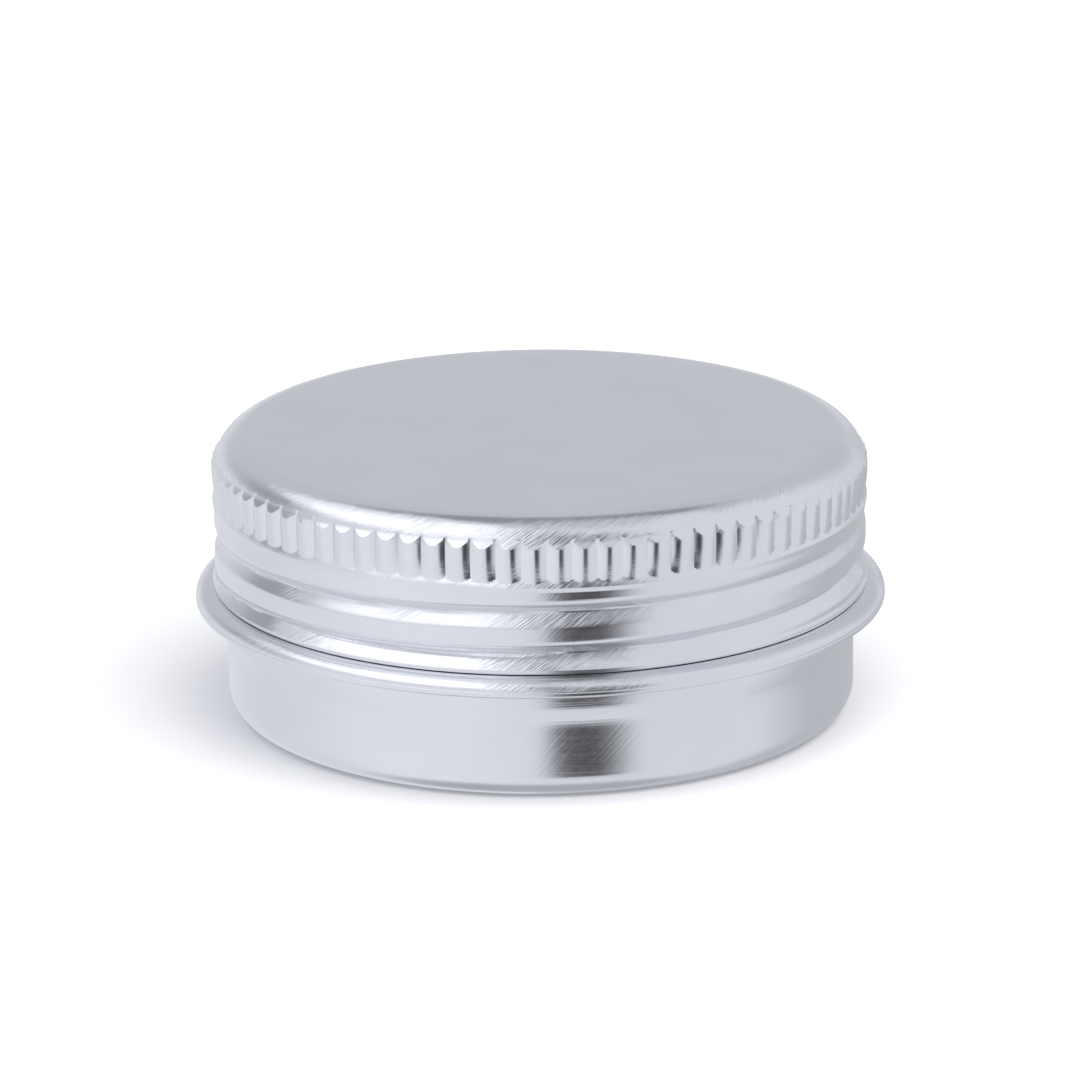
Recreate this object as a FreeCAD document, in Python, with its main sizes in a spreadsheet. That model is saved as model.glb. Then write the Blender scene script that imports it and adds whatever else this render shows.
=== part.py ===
import FreeCAD, Part
import os
import Sketcher
from FreeCAD import Vector

# Screw-lid aluminium candle tin, millimetres, +Z up.
# The origin is the centre of the can's underside, and the front is -Y.
# Seen from above, the lid turns anticlockwise to open and rises one lead per turn.

doc = FreeCAD.newDocument("candle_tin")

# Driving sizes -------------------------------------------------------------
driving_sizes = [
    # can
    ("can_radius", 22.73, "outside of the can's lower wall"),
    ("can_gauge", 0.35, "sheet of the can"),
    ("foot_radius", 1.8, "rounding between the wall and the bottom"),
    ("foot_ring", 2.03, "flat ring that the tin stands on"),
    ("panel_lift", 0.4, "how far the panel stands off the table"),
    ("step_height", 5.8, "kink where the lower wall ends"),
    ("step_flare", 0.22, "how far the wall flares above the kink"),
    ("flare_height", 0.95, "height of the flaring stretch"),
    ("bead_width", 2.27, "how far the folded bead stands out of the lower wall"),
    ("bead_low", 8.2, "underside of the bead"),
    ("bead_thickness", 1.3, "bead from its underside to its top"),
    ("bead_fall", 0.25, "how far the bead's top falls towards its edge"),
    ("bead_nose", 0.4, "rounding of the bead's outer edge"),
    ("neck_set_in", 0.28, "how far the neck above the bead is set in from the lower wall"),
    ("curl_width", 1.0, "rim curl, across the roll"),
    # thread, shared by the can and the lid
    ("thread_lead", 3.0, "rise in one turn"),
    ("thread_height", 0.45, "how far the can's thread stands out of the neck"),
    ("thread_foot", 0.75, "half the width of a thread at its foot"),
    ("thread_crest", 0.25, "half the width of a thread at its crest"),
    ("thread_play", 0.2, "running clearance of the thread"),
    ("thread_bite", 0.15, "how deep a thread's foot sits in its wall"),
    ("can_thread_turns", 1.1, "turns of thread on the neck"),
    ("lid_thread_turns", 1.25, "turns of thread inside the lid"),
    # lid
    ("lid_height", 10.83, "lid from hem to top"),
    ("skirt_gauge", 0.48, "wall of the skirt below the grip band"),
    ("grip_proud", 0.12, "ridge tops of the grip over the skirt"),
    ("lid_gauge", 0.35, "sheet of the lid's top"),
    ("lid_corner", 2.2, "rounding between the top and the grip band"),
    ("lid_inner_corner", 1.5, "the same rounding inside"),
    ("hem_gap", 0.17, "gap between the bead and the lid's hem"),
    ("hem_height", 0.88, "height of the rolled hem"),
    ("hem_proud", 0.17, "how far the hem stands out of the skirt"),
    ("grip_start", 6.08, "lower end of the grip grooves above the hem"),
    ("grip_count", 83, "grip grooves round the lid"),
    ("grip_depth", 0.25, "depth of a grip groove"),
    ("grip_groove", 1.3, "width of a grip groove at the ridge tops"),
    ("rolled_turns", 1.5, "turns of the groove that the rolled thread leaves outside"),
    ("rolled_depth", 0.35, "depth of that groove"),
    ("rolled_width", 2.0, "width of that groove at the skirt"),
    ("rolled_floor", 0.6, "width of that groove's floor"),
    # liner
    ("liner_thickness", 1.0, "foam liner"),
    ("liner_side_gap", 0.6, "liner to the inside of the skirt"),
    ("liner_bevel", 0.45, "pressed edge of the liner"),
    ("seat_gap", 0.02, "between faces that bear on each other when closed"),
    # contents
    ("wax_headspace", 6.51, "from the wax up to the rim"),
    ("fill_gap", 0.02, "between the wax and what it is cast against"),
    ("wick_radius", 0.85, "braided wick"),
    ("wick_free", 5.4, "wick standing out of the wax"),
    ("sticker_radius", 6.0, "adhesive disc"),
    ("sticker_thickness", 0.4, "adhesive disc"),
    ("tab_radius", 6.4, "disc of the wick sustainer"),
    ("tab_gauge", 0.25, "sheet of the sustainer"),
    ("tab_neck", 3.0, "height of the sustainer's crimped neck"),
]

sheet = doc.addObject("Spreadsheet::Sheet", "sizes")
for row, (alias, value, note) in enumerate(driving_sizes, start=1):
    sheet.set("A%d" % row, alias)
    sheet.set("B%d" % row, str(value))
    sheet.set("C%d" % row, note)
    sheet.setAlias("B%d" % row, alias)
doc.recompute()

# Places that several pieces share, each written once ------------------------
can_bore = "(sizes.can_radius - sizes.can_gauge)"
neck_radius = "(sizes.can_radius - sizes.neck_set_in)"
neck_bore = "(%s - sizes.can_gauge)" % neck_radius
bead_radius = "(sizes.can_radius + sizes.bead_width)"
foot_bore = "(sizes.foot_radius - sizes.can_gauge)"
panel_edge = "(sizes.can_radius - sizes.foot_radius - sizes.foot_ring)"
panel_radius = "(%s - sizes.panel_lift)" % panel_edge
floor_top = "(sizes.panel_lift + sizes.can_gauge)"
flare_radius = "(sizes.can_radius + sizes.step_flare)"
flare_top = "(sizes.step_height + sizes.flare_height)"
bead_top = "(sizes.bead_low + sizes.bead_thickness)"
hem_low = "(%s + sizes.hem_gap)" % bead_top
lid_top = "(%s + sizes.lid_height)" % hem_low
lid_under = "(%s - sizes.lid_gauge)" % lid_top
liner_top = "(%s - sizes.seat_gap)" % lid_under
liner_low = "(%s - sizes.liner_thickness)" % liner_top
rim_top = "(%s - sizes.seat_gap)" % liner_low
curl_low = "(%s - sizes.curl_width)" % rim_top
curl_bore = "(%s - sizes.curl_width)" % neck_radius
thread_crest_radius = "(%s + sizes.thread_height)" % neck_radius
skirt_bore = "(%s + sizes.thread_play)" % thread_crest_radius
skirt_radius = "(%s + sizes.skirt_gauge)" % skirt_bore
lid_radius = "(%s + sizes.grip_proud)" % skirt_radius
hem_radius = "(%s + sizes.hem_proud)" % skirt_radius
hem_top = "(%s + sizes.hem_height)" % hem_low
ridge_bore = "(%s + sizes.thread_play)" % neck_radius
grip_low = "(%s + sizes.grip_start)" % hem_low
thread_half = "(sizes.thread_foot + sizes.thread_crest + sizes.thread_play)"
# height of the lid's thread where it starts, at the front
front_thread = "(%s + %s)" % (hem_low, thread_half)
sticker_low = "(%s + sizes.fill_gap)" % floor_top
sticker_top = "(%s + sizes.sticker_thickness)" % sticker_low
tab_low = "(%s + sizes.fill_gap)" % sticker_top
tab_top = "(%s + sizes.tab_gauge)" % tab_low
tab_neck_top = "(%s + sizes.tab_neck)" % tab_low
tab_bore = "(sizes.wick_radius + sizes.fill_gap)"
tab_neck_radius = "(%s + sizes.tab_gauge)" % tab_bore
wax_top = "(%s - sizes.wax_headspace)" % rim_top
wick_top = "(%s + sizes.wick_free)" % wax_top
# roundings a little under what their walls allow
curl_rounding = "0.45 * sizes.curl_width"
hem_rounding = "0.9 * sizes.hem_proud"


def new_body(name):
    body = doc.addObject("PartDesign::Body", name)
    body.Label = name
    return body


def origin_feature(body, role):
    return next(item for item in body.Origin.OriginFeatures if item.Role == role)


def outline(body, name, plane, corners, lift=None):
    """A closed straight-edged sketch; two expressions place each corner."""
    sketch = body.newObject("Sketcher::SketchObject", name)
    sketch.AttachmentSupport = [(origin_feature(body, plane), "")]
    sketch.MapMode = "FlatFace"
    if lift:
        sketch.setExpression("AttachmentOffset.Base.z", lift)
    count = len(corners)
    # the corners start apart from each other, and the expressions then place them
    rough = [Vector(10 + index, 5 + index * index % 7, 0) for index in range(count)]
    for index in range(count):
        sketch.addGeometry(Part.LineSegment(rough[index], rough[(index + 1) % count]), False)
    for index in range(count):
        sketch.addConstraint(Sketcher.Constraint("Coincident", index, 2, (index + 1) % count, 1))
    for index, places in enumerate(corners):
        for kind, axis, place in zip(("DistanceX", "DistanceY"), (-2, -1), places):
            if place == "0":
                sketch.addConstraint(Sketcher.Constraint("PointOnObject", index, 1, axis))
                continue
            start = rough[index].x if kind == "DistanceX" else rough[index].y
            number = sketch.addConstraint(Sketcher.Constraint(kind, -1, 1, index, 1, start))
            sketch.setExpression("Constraints[%d]" % number, place)
    doc.recompute()
    return sketch


def revolve(body, name, corners):
    turned = body.newObject("PartDesign::Revolution", name)
    sketch = outline(body, name + "_outline", "XZ_Plane", corners)
    turned.Profile = sketch
    turned.ReferenceAxis = (sketch, ["V_Axis"])
    turned.Angle = 360
    body.Tip = turned
    doc.recompute()
    return turned


def helix(body, name, kind, plane, corners, turns):
    swept = body.newObject("PartDesign::" + kind, name)
    sketch = outline(body, name + "_section", plane, corners)
    swept.Profile = sketch
    swept.ReferenceAxis = (sketch, ["V_Axis"])
    swept.Mode = "pitch-turns-angle"
    swept.setExpression("Pitch", "sizes.thread_lead")
    swept.setExpression("Turns", turns)
    body.Tip = swept
    doc.recompute()
    return swept


def round_rings(body, name, radius, rings):
    """Fillet the circular edges that lie at the given (radius, height) expressions."""
    wanted = [tuple(sheet.evalExpression(place) for place in ring) for ring in rings]
    base = body.Tip
    names = []
    for index, edge in enumerate(base.Shape.Edges, start=1):
        if not isinstance(edge.Curve, Part.Circle):
            continue
        for ring, height in wanted:
            if abs(edge.Curve.Radius - ring) < 1e-4 and abs(edge.Curve.Center.z - height) < 1e-4:
                names.append("Edge%d" % index)
    if len(names) < len(rings):
        raise RuntimeError("%s: an edge to round is missing" % name)
    fillet = body.newObject("PartDesign::Fillet", name)
    fillet.Base = (base, names)
    fillet.setExpression("Radius", radius)
    body.Tip = fillet
    doc.recompute()


def thread_section(side, outer, inner, middle, outer_half, inner_half):
    """Trapezoid of a thread, at the given height, on one side of the axis."""
    return [
        ("%s * %s" % (side, outer), "%s - %s" % (middle, outer_half)),
        ("%s * %s" % (side, inner), "%s - %s" % (middle, inner_half)),
        ("%s * %s" % (side, inner), "%s + %s" % (middle, inner_half)),
        ("%s * %s" % (side, outer), "%s + %s" % (middle, outer_half)),
    ]


# Can: one deep-drawn sheet with a folded bead, a rolled thread and a curled rim ---
can = new_body("base_can")
revolve(can, "can_shell", [
    ("0", "sizes.panel_lift"),
    (panel_radius, "sizes.panel_lift"),
    (panel_edge, "0"),
    ("sizes.can_radius", "0"),
    ("sizes.can_radius", "sizes.step_height"),
    (flare_radius, flare_top),
    (flare_radius, "sizes.bead_low"),
    (bead_radius, "sizes.bead_low"),
    (bead_radius, "%s - sizes.bead_fall" % bead_top),
    (neck_radius, bead_top),
    (neck_radius, rim_top),
    (curl_bore, rim_top),
    (curl_bore, curl_low),
    (neck_bore, curl_low),
    (neck_bore, bead_top),
    (can_bore, "sizes.bead_low"),
    (can_bore, "sizes.can_gauge"),
    (panel_edge, "sizes.can_gauge"),
    (panel_radius, floor_top),
    ("0", floor_top),
])
round_rings(can, "foot_outside", "sizes.foot_radius", [("sizes.can_radius", "0")])
round_rings(can, "foot_inside", foot_bore, [(can_bore, "sizes.can_gauge")])
round_rings(can, "bead_edge", "sizes.bead_nose", [
    (bead_radius, "sizes.bead_low"),
    (bead_radius, "%s - sizes.bead_fall" % bead_top),
])
round_rings(can, "rim_curl", curl_rounding, [
    (neck_radius, rim_top),
    (curl_bore, rim_top),
    (curl_bore, curl_low),
])
# the can's thread starts on the right, a quarter turn on from the lid's, and rests on it
helix(can, "can_thread", "AdditiveHelix", "XZ_Plane", thread_section(
    "1",
    "(%s - sizes.thread_bite)" % neck_radius,
    thread_crest_radius,
    "(%s + sizes.thread_lead / 4 + %s)" % (front_thread, thread_half),
    "sizes.thread_foot",
    "sizes.thread_crest",
), "sizes.can_thread_turns")

# Lid: one drawn sheet with a knurled grip band, a rolled thread and a rolled hem --
lid = new_body("lid_shell")
revolve(lid, "lid_cup", [
    (skirt_bore, hem_low),
    (skirt_radius, hem_low),
    (skirt_radius, grip_low),
    (lid_radius, grip_low),
    (lid_radius, lid_top),
    ("0", lid_top),
    ("0", lid_under),
    (skirt_bore, lid_under),
])
round_rings(lid, "corner_outside", "sizes.lid_corner", [(lid_radius, lid_top)])
round_rings(lid, "corner_inside", "sizes.lid_inner_corner", [(skirt_bore, lid_under)])
helix(lid, "lid_thread", "AdditiveHelix", "YZ_Plane", thread_section(
    "-1",
    "(%s + sizes.thread_bite)" % skirt_bore,
    ridge_bore,
    front_thread,
    "sizes.thread_foot",
    "sizes.thread_crest",
), "sizes.lid_thread_turns")
# the groove outside starts a quarter turn earlier, on the left, and runs into the hem
helix(lid, "rolled_groove", "SubtractiveHelix", "XZ_Plane", thread_section(
    "-1",
    lid_radius,
    "(%s - sizes.rolled_depth)" % skirt_radius,
    "(%s - sizes.thread_lead / 4)" % front_thread,
    "sizes.rolled_width / 2",
    "sizes.rolled_floor / 2",
), "sizes.rolled_turns")
revolve(lid, "rolled_hem", [
    (skirt_bore, hem_low),
    (hem_radius, hem_low),
    (hem_radius, hem_top),
    (skirt_bore, hem_top),
])
round_rings(lid, "hem_edges", hem_rounding, [(hem_radius, hem_low)])

volume_before_grip = lid.Tip.Shape.Volume
groove_outline = outline(lid, "grip_groove_outline", "XY_Plane", [
    ("-sizes.grip_groove / 2", lid_radius),
    ("0", "(%s - sizes.grip_depth)" % lid_radius),
    ("sizes.grip_groove / 2", lid_radius),
    ("0", "(%s + sizes.grip_depth)" % lid_radius),
], lift=grip_low)
groove = lid.newObject("PartDesign::Pocket", "grip_groove_cut")
groove.Profile = groove_outline
groove.setExpression("Length", "%s - %s" % (lid_top, grip_low))
groove.Reversed = True
lid.Tip = groove
doc.recompute()
volume_one_groove = volume_before_grip - lid.Tip.Shape.Volume
grip = lid.newObject("PartDesign::PolarPattern", "grip_grooves")
grip.Originals = [groove]
grip.Axis = (groove_outline, ["N_Axis"])
grip.Angle = 360
grip.setExpression("Occurrences", "sizes.grip_count")
lid.Tip = grip
doc.recompute()
volume_all_grooves = volume_before_grip - lid.Tip.Shape.Volume
least_share = 0.8  # volumes bounded by helical faces are only measured to about a percent of the lid
if volume_one_groove <= 0 or volume_all_grooves < least_share * volume_one_groove * sheet.grip_count:
    raise RuntimeError("the grip grooves did not cut")

# Liner: a foam disc pressed into the lid, which seals on the curled rim -----------
liner_radius = "(%s - sizes.liner_side_gap)" % skirt_bore
liner = new_body("lid_liner")
revolve(liner, "liner_disc", [
    ("0", liner_low),
    (liner_radius, liner_low),
    (liner_radius, "(%s - sizes.liner_bevel)" % liner_top),
    ("(%s - 2 * sizes.liner_bevel)" % liner_radius, liner_top),
    ("0", liner_top),
])

# Contents: the wax is cast round the wick and the sustainer ----------------------
wax = new_body("wax_fill")
revolve(wax, "wax_cast", [
    ("(sizes.wick_radius + sizes.fill_gap)", wax_top),
    ("(%s - sizes.fill_gap)" % neck_bore, wax_top),
    ("(%s - sizes.fill_gap)" % neck_bore, bead_top),
    ("(%s - sizes.fill_gap)" % can_bore, "sizes.bead_low"),
    ("(%s - sizes.fill_gap)" % can_bore, "(sizes.can_gauge + sizes.fill_gap)"),
    ("(%s + sizes.fill_gap)" % panel_edge, "(sizes.can_gauge + sizes.fill_gap)"),
    ("(%s + sizes.fill_gap)" % panel_radius, "(%s + sizes.fill_gap)" % floor_top),
    ("(sizes.tab_radius + sizes.fill_gap)", "(%s + sizes.fill_gap)" % floor_top),
    ("(sizes.tab_radius + sizes.fill_gap)", "(%s + sizes.fill_gap)" % tab_top),
    ("(%s + sizes.fill_gap)" % tab_neck_radius, "(%s + sizes.fill_gap)" % tab_top),
    ("(%s + sizes.fill_gap)" % tab_neck_radius, "(%s + sizes.fill_gap)" % tab_neck_top),
    ("(sizes.wick_radius + sizes.fill_gap)", "(%s + sizes.fill_gap)" % tab_neck_top),
])
round_rings(wax, "wax_foot", foot_bore, [
    ("(%s - sizes.fill_gap)" % can_bore, "(sizes.can_gauge + sizes.fill_gap)"),
])

wick = new_body("wick")
revolve(wick, "wick_braid", [
    ("0", tab_low),
    ("sizes.wick_radius", tab_low),
    ("sizes.wick_radius", wick_top),
    ("0", wick_top),
])

tab = new_body("wick_sustainer")
revolve(tab, "tab_disc", [
    (tab_bore, tab_low),
    ("sizes.tab_radius", tab_low),
    ("sizes.tab_radius", tab_top),
    (tab_neck_radius, tab_top),
    (tab_neck_radius, tab_neck_top),
    (tab_bore, tab_neck_top),
])

sticker = new_body("wick_sticker")
revolve(sticker, "sticker_disc", [
    ("0", sticker_low),
    ("sizes.sticker_radius", sticker_low),
    ("sizes.sticker_radius", sticker_top),
    ("0", sticker_top),
])

# Checks and export ----------------------------------------------------------
doc.recompute()
pieces = [can, lid, liner, wax, wick, tab, sticker]
for item in doc.Objects:
    if "Invalid" in item.State or "Error" in item.State:
        raise RuntimeError("%s failed: %s" % (item.Name, item.State))
for piece in pieces:
    shape = piece.Shape
    if shape.isNull() or not shape.isValid() or len(shape.Solids) != 1:
        raise RuntimeError("%s is not one valid solid" % piece.Label)

os.makedirs("parts", exist_ok=True)
for piece in pieces:
    piece.Shape.exportStep("parts/%s.step" % piece.Label)
    print("%-15s %9.2f mm3" % (piece.Label, piece.Shape.Volume))
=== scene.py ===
import math
import bpy
import bmesh
from mathutils import Matrix, Vector


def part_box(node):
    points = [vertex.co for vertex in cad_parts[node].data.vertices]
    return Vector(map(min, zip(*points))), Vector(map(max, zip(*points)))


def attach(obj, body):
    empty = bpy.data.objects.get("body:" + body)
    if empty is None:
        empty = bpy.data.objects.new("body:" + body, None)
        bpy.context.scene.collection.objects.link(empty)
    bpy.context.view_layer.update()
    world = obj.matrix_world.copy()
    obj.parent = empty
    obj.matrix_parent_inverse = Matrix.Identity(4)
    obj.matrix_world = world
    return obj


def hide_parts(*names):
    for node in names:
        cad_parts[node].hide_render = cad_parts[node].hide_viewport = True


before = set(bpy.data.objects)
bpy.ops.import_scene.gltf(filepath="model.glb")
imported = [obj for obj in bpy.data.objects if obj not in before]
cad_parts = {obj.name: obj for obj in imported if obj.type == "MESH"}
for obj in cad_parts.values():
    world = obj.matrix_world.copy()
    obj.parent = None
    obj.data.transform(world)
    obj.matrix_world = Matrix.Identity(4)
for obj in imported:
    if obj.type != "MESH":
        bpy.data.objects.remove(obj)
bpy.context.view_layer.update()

millimetre = 0.001
fullTurn = 2 * math.pi
print("frame loaded")


# small tools for every piece

def hexToLinear(hexColour):
    channels = [int(hexColour[i:i + 2], 16) / 255 for i in (1, 3, 5)]
    return [c / 12.92 if c <= 0.04045 else ((c + 0.055) / 1.055) ** 2.4 for c in channels] + [1.0]


def addNode(tree, kind, settings=None, inputs=None):
    # inputs: socket name or number -> a value, or another node's output to link
    node = tree.nodes.new(kind)
    for name, value in (settings or {}).items():
        setattr(node, name, value)
    for socket, value in (inputs or {}).items():
        if isinstance(value, bpy.types.NodeSocket):
            tree.links.new(value, node.inputs[socket])
        else:
            node.inputs[socket].default_value = value
    return node


def linkObject(name, data):
    item = bpy.data.objects.new(name, data)
    bpy.context.scene.collection.objects.link(item)
    return item


def arcPoints(centre, radii, startDegrees, endDegrees, steps):
    # radii is one radius, or two for a stretch of an ellipse
    across, up = radii if isinstance(radii, tuple) else (radii, radii)
    points = []
    for i in range(steps + 1):
        a = math.radians(startDegrees + (endDegrees - startDegrees) * i / steps)
        points.append((centre[0] + across * math.cos(a), centre[1] + up * math.sin(a)))
    return points


def straight(start, end, steps):
    # leaves out the start point, which the stretch before it already has
    return [(start[0] + (end[0] - start[0]) * i / steps, start[1] + (end[1] - start[1]) * i / steps)
            for i in range(1, steps + 1)]


def smooth(x):
    x = max(0.0, min(1.0, x))
    return x * x * (3 - 2 * x)


def addRings(mesh, profile, angles, place=None, closed=False):
    # profile in mm as (radius, height); place(radius, height, angle) may move a point
    rings = []
    for radius, height in profile:
        if radius < 1e-6:
            rings.append([mesh.verts.new((0, 0, height * millimetre))])
            continue
        ring = []
        for angle in angles:
            r, z = place(radius, height, angle) if place else (radius, height)
            ring.append(mesh.verts.new((r * math.cos(angle) * millimetre,
                                        r * math.sin(angle) * millimetre, z * millimetre)))
        rings.append(ring)
    pairs = list(zip(rings, rings[1:]))
    if closed:
        pairs.append((rings[-1], rings[0]))
    for low, high in pairs:
        for i in range(len(angles)):
            j = (i + 1) % len(angles)
            if len(low) == 1:
                mesh.faces.new((low[0], high[j], high[i]))
            elif len(high) == 1:
                mesh.faces.new((low[i], low[j], high[0]))
            else:
                mesh.faces.new((low[i], low[j], high[j], high[i]))


def evenAngles(count):
    return [fullTurn * i / count for i in range(count)]


def pieceFrom(mesh, name, creaseDegrees=40):
    # a closed shell: doubles are merged and faces turned outward, then creases are kept crisp
    bmesh.ops.remove_doubles(mesh, verts=mesh.verts, dist=1e-6)
    bmesh.ops.recalc_face_normals(mesh, faces=mesh.faces)
    data = bpy.data.meshes.new(name)
    mesh.to_mesh(data)
    mesh.free()
    data.shade_smooth()
    data.set_sharp_from_angle(angle=math.radians(creaseDegrees))
    return linkObject(name, data)


def meshFromTree(tree, values):
    # runs a Geometry Nodes tree once and hands back its result as a plain mesh
    holder = linkObject("nodesHolder", bpy.data.meshes.new("nodesHolder"))
    modifier = holder.modifiers.new("nodes", "NODES")
    modifier.node_group = tree
    for item in tree.interface.items_tree:
        if item.in_out == "INPUT" and item.name in values:
            modifier[item.identifier] = values[item.name]
    graph = bpy.context.evaluated_depsgraph_get()
    data = bpy.data.meshes.new_from_object(holder.evaluated_get(graph))
    bpy.data.objects.remove(holder)
    return data


def newTree(name, sockets):
    tree = bpy.data.node_groups.new(name, "GeometryNodeTree")
    tree.interface.new_socket("Geometry", in_out="INPUT", socket_type="NodeSocketGeometry")
    for label, kind in sockets:
        tree.interface.new_socket(label, in_out="INPUT", socket_type="NodeSocket" + kind)
    tree.interface.new_socket("Geometry", in_out="OUTPUT", socket_type="NodeSocketGeometry")
    return tree, addNode(tree, "NodeGroupInput")


def finishPiece(piece, material, body, slotName, *nodes):
    piece.data.materials.clear()
    piece.data.materials.append(material)
    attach(piece, body)
    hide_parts(*nodes)
    print(piece.name, "built,", len(piece.data.polygons), "faces")


# camera, in metres and degrees
cameraSizes = {"distanceBack": 0.4497, "heightAbove": 0.1498, "pitchDown": 17.03, "roll": -0.475,
               "lens": 216.2, "sensor": 36}

cameraData = bpy.data.cameras.new("studioCamera")
cameraData.lens = cameraSizes["lens"]
cameraData.sensor_width = cameraSizes["sensor"]
cameraData.clip_start = 0.01
studioCamera = linkObject("studioCamera", cameraData)
studioCamera.matrix_world = (
    Matrix.Translation((0, -cameraSizes["distanceBack"], cameraSizes["heightAbove"]))
    @ Matrix.Rotation(math.radians(90 - cameraSizes["pitchDown"]), 4, "X")
    @ Matrix.Rotation(math.radians(cameraSizes["roll"]), 4, "Z")
)
bpy.context.scene.camera = studioCamera
bpy.context.scene.view_settings.view_transform = "Standard"


# studio: the metal shows nothing but this dome, so its light and dark cards are painted on it.
# Azimuth 0 is in front (-Y) and grows to the right; each card is
# (left, right, low, high, soft sides, soft ends, glow), in degrees
studioSizes = {
    "domeGlow": 0.80, "domeTint": (0.984, 1.0, 1.055),
    "cards": {
        "frontWall": (-85, -12, -70, 12, 25, 20, 0.90),
        "backRightWall": (100, 200, -60, -5, 20, 12, 0.56),
        "backLeftShade": (-165, -98, 12, 40, 9, 8, 0.36),
        "nearFloorShade": (-181, 181, -200, -62, 1, 10, 0.48),
        "softbox": (-124, -10, 35, 79, 6, 4, 1.40),
        "zenithShade": (-181, 181, 84, 200, 1, 5, 0.30),
        "darkCardBlur": (8, 31, -27, 46, 5, 7, 0.30),
        "darkCard": (3.5, 25, -27, 46, 2.5, 5, 0.06),
        "darkCardTop": (-9, 26, 40, 66, 5, 8, 0.10),
    },
    # the wall behind, measured from straight behind to either side: (half width, low, high, softs, glow)
    "backCards": {
        "backWall": (48, 8, 50, 14, 8, 0.60),
        "backShade": (52, 52, 200, 8, 6, 0.31),
    },
    "keyEnergy": 6.0, "keySize": 0.9, "keyDistance": 0.9, "keyAim": (0.35, -0.35, 1),
    "floorHalf": 2.0, "floorColour": "#FBFBFC",
}


def buildWorld(s):
    world = bpy.data.worlds.new("studioDome")
    bpy.context.scene.world = world
    world.use_nodes = True
    tree = world.node_tree
    tree.nodes.clear()

    def paintCard(below, edges, glow):
        # edges: (measure, where the card begins to show, where it shows in full)
        mask = 1.0
        for measure, start, end in edges:
            ramp = addNode(tree, "ShaderNodeMapRange", {"interpolation_type": "SMOOTHSTEP"}, {
                "Value": measure, "From Min": start, "From Max": end})
            mask = addNode(tree, "ShaderNodeMath", {"operation": "MULTIPLY"}, {
                0: ramp.outputs[0], 1: mask}).outputs[0]
        return addNode(tree, "ShaderNodeMix", {"data_type": "FLOAT"}, {0: mask, 2: below, 3: glow}).outputs[0]

    place = addNode(tree, "ShaderNodeTexCoord")
    parts = addNode(tree, "ShaderNodeSeparateXYZ", inputs={0: place.outputs["Generated"]})
    toFront = addNode(tree, "ShaderNodeMath", {"operation": "MULTIPLY"}, {0: parts.outputs["Y"], 1: -1.0})
    around = addNode(tree, "ShaderNodeMath", {"operation": "ARCTAN2"}, {
        0: parts.outputs["X"], 1: toFront.outputs[0]})
    azimuth = addNode(tree, "ShaderNodeMath", {"operation": "DEGREES"}, {0: around.outputs[0]}).outputs[0]
    tilt = addNode(tree, "ShaderNodeMath", {"operation": "ARCSINE"}, {0: parts.outputs["Z"]})
    elevation = addNode(tree, "ShaderNodeMath", {"operation": "DEGREES"}, {0: tilt.outputs[0]}).outputs[0]
    fromFront = addNode(tree, "ShaderNodeMath", {"operation": "ABSOLUTE"}, {0: azimuth})
    fromBack = addNode(tree, "ShaderNodeMath", {"operation": "SUBTRACT"}, {
        0: 180.0, 1: fromFront.outputs[0]}).outputs[0]
    glow = s["domeGlow"]
    for left, right, low, high, sides, ends, shade in s["cards"].values():
        glow = paintCard(glow, [
            (azimuth, left - sides, left + sides), (azimuth, right + sides, right - sides),
            (elevation, low - ends, low + ends), (elevation, high + ends, high - ends)], shade)
    for half, low, high, sides, ends, shade in s["backCards"].values():
        glow = paintCard(glow, [
            (fromBack, half + sides, half - sides),
            (elevation, low - ends, low + ends), (elevation, high + ends, high - ends)], shade)
    tinted = addNode(tree, "ShaderNodeVectorMath", {"operation": "SCALE"}, {0: s["domeTint"], "Scale": glow})
    sky = addNode(tree, "ShaderNodeBackground", inputs={"Color": tinted.outputs[0], "Strength": 1.0})
    addNode(tree, "ShaderNodeOutputWorld", inputs={0: sky.outputs[0]})


def buildFloor(s):
    half = s["floorHalf"]
    data = bpy.data.meshes.new("floor")
    corners = [(-half, -half, 0), (half, -half, 0), (half, half, 0), (-half, half, 0)]
    data.from_pydata(corners, [], [(0, 1, 2, 3)])
    floor = linkObject("floor", data)
    material = bpy.data.materials.new("floorWhitePaper")
    material.use_nodes = True
    shader = material.node_tree.nodes["Principled BSDF"]
    shader.inputs["Base Color"].default_value = hexToLinear(s["floorColour"])
    shader.inputs["Roughness"].default_value = 0.9
    shader.inputs["Specular IOR Level"].default_value = 0.1
    data.materials.append(material)
    floor.visible_glossy = False


def buildKeyLight(s):
    # one large soft lamp overhead lights the floor, wax and foam; the metal doesn't mirror it
    lamp = bpy.data.lights.new("keyPanel", "AREA")
    lamp.size = s["keySize"]
    lamp.energy = s["keyEnergy"]
    holder = linkObject("keyPanel", lamp)
    aim = Vector(s["keyAim"]).normalized()
    holder.matrix_world = (Matrix.Translation(aim * s["keyDistance"])
                           @ aim.to_track_quat("Z", "Y").to_matrix().to_4x4())
    holder.visible_glossy = False
    holder.visible_camera = False


buildWorld(studioSizes)
buildFloor(studioSizes)
buildKeyLight(studioSizes)
print("studio built")


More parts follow.
